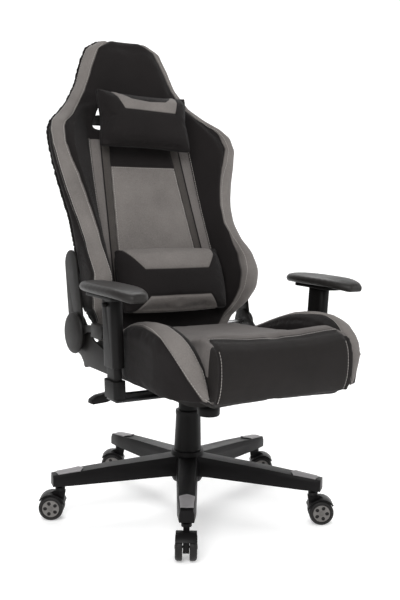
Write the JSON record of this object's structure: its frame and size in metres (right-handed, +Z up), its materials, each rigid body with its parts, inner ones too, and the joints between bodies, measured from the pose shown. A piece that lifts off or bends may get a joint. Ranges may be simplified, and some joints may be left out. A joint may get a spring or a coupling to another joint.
{
  "type": "gaming chair",
  "caption": "High-back racing-style office chair with bucket seat, winged reclining back, head and lumbar pillows, height-adjustable armrests and a five-star base on twin-wheel casters.",
  "frame": {"origin": "floor level, at the middle of the footprint box", "axes": "+Z up; the chair faces -Y, so the sitter's right hand is at -X"},
  "size_m": [0.7235, 0.8605, 1.192],
  "materials": {
    "base_nylon": "black glass-filled nylon, fine satin texture",
    "cover_plastic": "black moulded plastic, satin",
    "control_plastic": "dark grey moulded plastic, satin",
    "wheel_nylon": "grey caster wheels with a black tread",
    "arm_pad_pu": "soft dark grey polyurethane skin",
    "black_steel": "black powder coat",
    "lift_steel": "smooth black finish",
    "bright_steel": "plain steel",
    "board_wood": "plywood stained black",
    "fabric_black": "black woven fabric over foam",
    "fabric_grey": "grey woven fabric over foam",
    "strap_web": "black woven webbing"
  },
  "bodies": {
    "base": {"star_base": "base_nylon", "lift_stand_tube": "black_steel", "shroud_lower": "cover_plastic"},
    "lift": {"lift_cylinder": "lift_steel"},
    "mechanism": {"mechanism_pan": "black_steel", "shroud_upper": "cover_plastic", "tilt_axle": "bright_steel", "tension_spring": "bright_steel"},
    "tension_knob": {"tension_knob": "control_plastic"},
    "lever_bush": {"lever_bush": "control_plastic"},
    "height_lever": {"height_lever": "control_plastic"},
    "seat": {"seat_plate": "black_steel", "seat_board": "board_wood", "seat_cross_tube": "black_steel", "seat_cushion": "fabric_grey", "seat_bolster_right": "fabric_black", "arm_bracket_right": "black_steel", "arm_collar_right": "cover_plastic", "arm_post_right": "cover_plastic", "hinge_plate_lower_right": "black_steel", "hinge_cover_right": "control_plastic", "seat_bolster_left": "fabric_black", "arm_bracket_left": "black_steel", "arm_collar_left": "cover_plastic", "arm_post_left": "cover_plastic", "hinge_plate_lower_left": "black_steel", "hinge_cover_left": "control_plastic"},
    "back": {"back_frame": "black_steel", "back_cushion": "fabric_black", "back_rear_cover": "fabric_black", "hinge_plate_upper_right": "black_steel", "hinge_plate_upper_left": "black_steel", "head_pillow": "fabric_black", "head_strap": "strap_web", "lumbar_pillow": "fabric_black"},
    "recline_control": {"recline_lever": "control_plastic", "sync_rod": "bright_steel"},
    "arm_right": {"arm_sleeve_right": "cover_plastic", "arm_pad_plate_right": "cover_plastic", "arm_pad_right": "arm_pad_pu"},
    "arm_button_right": {"arm_button_right": "control_plastic"},
    "arm_left": {"arm_sleeve_left": "cover_plastic", "arm_pad_plate_left": "cover_plastic", "arm_pad_left": "arm_pad_pu"},
    "arm_button_left": {"arm_button_left": "control_plastic"},
    "caster_1": {"caster_fork_1": "base_nylon"},
    "wheel_1a": {"caster_wheel_1a": "wheel_nylon"},
    "wheel_1b": {"caster_wheel_1b": "wheel_nylon"},
    "caster_2": {"caster_fork_2": "base_nylon"},
    "wheel_2a": {"caster_wheel_2a": "wheel_nylon"},
    "wheel_2b": {"caster_wheel_2b": "wheel_nylon"},
    "caster_3": {"caster_fork_3": "base_nylon"},
    "wheel_3a": {"caster_wheel_3a": "wheel_nylon"},
    "wheel_3b": {"caster_wheel_3b": "wheel_nylon"},
    "caster_4": {"caster_fork_4": "base_nylon"},
    "wheel_4a": {"caster_wheel_4a": "wheel_nylon"},
    "wheel_4b": {"caster_wheel_4b": "wheel_nylon"},
    "caster_5": {"caster_fork_5": "base_nylon"},
    "wheel_5a": {"caster_wheel_5a": "wheel_nylon"},
    "wheel_5b": {"caster_wheel_5b": "wheel_nylon"}
  },
  "joints": [
    {"name": "lift_slide", "type": "slide", "parent": "base", "child": "lift", "axis": [0, 0, 1], "range_m": [-0.02, 0.07]},
    {"name": "seat_swivel", "type": "hinge", "parent": "lift", "child": "mechanism", "pos_m": [0.009, -0.018, 0.3], "axis": [0, 0, 1], "continuous": true},
    {"name": "tension_knob_turn", "type": "hinge", "parent": "mechanism", "child": "tension_knob", "pos_m": [0.009, -0.113, 0.27], "axis": [0, 0, 1], "range_deg": [-720, 720]},
    {"name": "height_lever_lift", "type": "hinge", "parent": "mechanism", "child": "lever_bush", "pos_m": [-0.0395, -0.026, 0.313], "axis": [0, 1, 0], "range_deg": [0, 7], "stiffness_Nm_per_rad": 2, "springref_deg": -14.32},
    {"name": "tilt_lock_pull", "type": "slide", "parent": "lever_bush", "child": "height_lever", "axis": [-1, 0, 0], "range_m": [0, 0.012]},
    {"name": "seat_tilt", "type": "hinge", "parent": "mechanism", "child": "seat", "pos_m": [0.009, -0.078, 0.317], "axis": [-1, 0, 0], "range_deg": [0, 10], "stiffness_Nm_per_rad": 150, "springref_deg": -17.19},
    {"name": "back_recline", "type": "hinge", "parent": "seat", "child": "back", "pos_m": [0.009, 0.109, 0.447], "axis": [-1, 0, 0], "range_deg": [-8, 55]},
    {"name": "recline_lever_lift", "type": "hinge", "parent": "seat", "child": "recline_control", "pos_m": [0.009, 0.109, 0.447], "axis": [-1, 0, 0], "range_deg": [0, 30], "stiffness_Nm_per_rad": 0.6, "springref_deg": -34.38},
    {"name": "armrest_height_right", "type": "slide", "parent": "seat", "child": "arm_right", "axis": [-0.0488, 0, 0.9988], "range_m": [-0.02, 0.05]},
    {"name": "armrest_button_right", "type": "slide", "parent": "arm_right", "child": "arm_button_right", "axis": [0.9988, 0, 0.0488], "range_m": [0, 0.004], "stiffness_N_per_m": 600, "springref_m": -0.002},
    {"name": "armrest_height_left", "type": "slide", "parent": "seat", "child": "arm_left", "axis": [0.0488, 0, 0.9988], "range_m": [-0.02, 0.05]},
    {"name": "armrest_button_left", "type": "slide", "parent": "arm_left", "child": "arm_button_left", "axis": [-0.9988, 0, 0.0488], "range_m": [0, 0.004], "stiffness_N_per_m": 600, "springref_m": -0.002},
    {"name": "caster_1_swivel", "type": "hinge", "parent": "base", "child": "caster_1", "pos_m": [-0.1584, -0.2966, 0.085], "axis": [0, 0, 1], "continuous": true},
    {"name": "wheel_1a_spin", "type": "hinge", "parent": "caster_1", "child": "wheel_1a", "pos_m": [-0.1687, -0.3137, 0.03], "axis": [0.8572, -0.515, 0], "continuous": true},
    {"name": "wheel_1b_spin", "type": "hinge", "parent": "caster_1", "child": "wheel_1b", "pos_m": [-0.1687, -0.3137, 0.03], "axis": [0.8572, -0.515, 0], "continuous": true},
    {"name": "caster_2_swivel", "type": "hinge", "parent": "base", "child": "caster_2", "pos_m": [0.2222, -0.2633, 0.085], "axis": [0, 0, 1], "continuous": true},
    {"name": "wheel_2a_spin", "type": "hinge", "parent": "caster_2", "child": "wheel_2a", "pos_m": [0.2394, -0.2736, 0.03], "axis": [0.515, 0.8572, 0], "continuous": true},
    {"name": "wheel_2b_spin", "type": "hinge", "parent": "caster_2", "child": "wheel_2b", "pos_m": [0.2394, -0.2736, 0.03], "axis": [0.515, 0.8572, 0], "continuous": true},
    {"name": "caster_3_swivel", "type": "hinge", "parent": "base", "child": "caster_3", "pos_m": [0.3082, 0.109, 0.085], "axis": [0, 0, 1], "continuous": true},
    {"name": "wheel_3a_spin", "type": "hinge", "parent": "caster_3", "child": "wheel_3a", "pos_m": [0.3253, 0.0987, 0.03], "axis": [0.515, 0.8572, 0], "continuous": true},
    {"name": "wheel_3b_spin", "type": "hinge", "parent": "caster_3", "child": "wheel_3b", "pos_m": [0.3253, 0.0987, 0.03], "axis": [0.515, 0.8572, 0], "continuous": true},
    {"name": "caster_4_swivel", "type": "hinge", "parent": "base", "child": "caster_4", "pos_m": [-0.0193, 0.3058, 0.085], "axis": [0, 0, 1], "continuous": true},
    {"name": "wheel_4a_spin", "type": "hinge", "parent": "caster_4", "child": "wheel_4a", "pos_m": [-0.0365, 0.3161, 0.03], "axis": [-0.515, -0.8572, 0], "continuous": true},
    {"name": "wheel_4b_spin", "type": "hinge", "parent": "caster_4", "child": "wheel_4b", "pos_m": [-0.0365, 0.3161, 0.03], "axis": [-0.515, -0.8572, 0], "continuous": true},
    {"name": "caster_5_swivel", "type": "hinge", "parent": "base", "child": "caster_5", "pos_m": [-0.3077, 0.0551, 0.085], "axis": [0, 0, 1], "continuous": true},
    {"name": "wheel_5a_spin", "type": "hinge", "parent": "caster_5", "child": "wheel_5a", "pos_m": [-0.3248, 0.0654, 0.03], "axis": [-0.515, -0.8572, 0], "continuous": true},
    {"name": "wheel_5b_spin", "type": "hinge", "parent": "caster_5", "child": "wheel_5b", "pos_m": [-0.3248, 0.0654, 0.03], "axis": [-0.515, -0.8572, 0], "continuous": true}
  ]
}
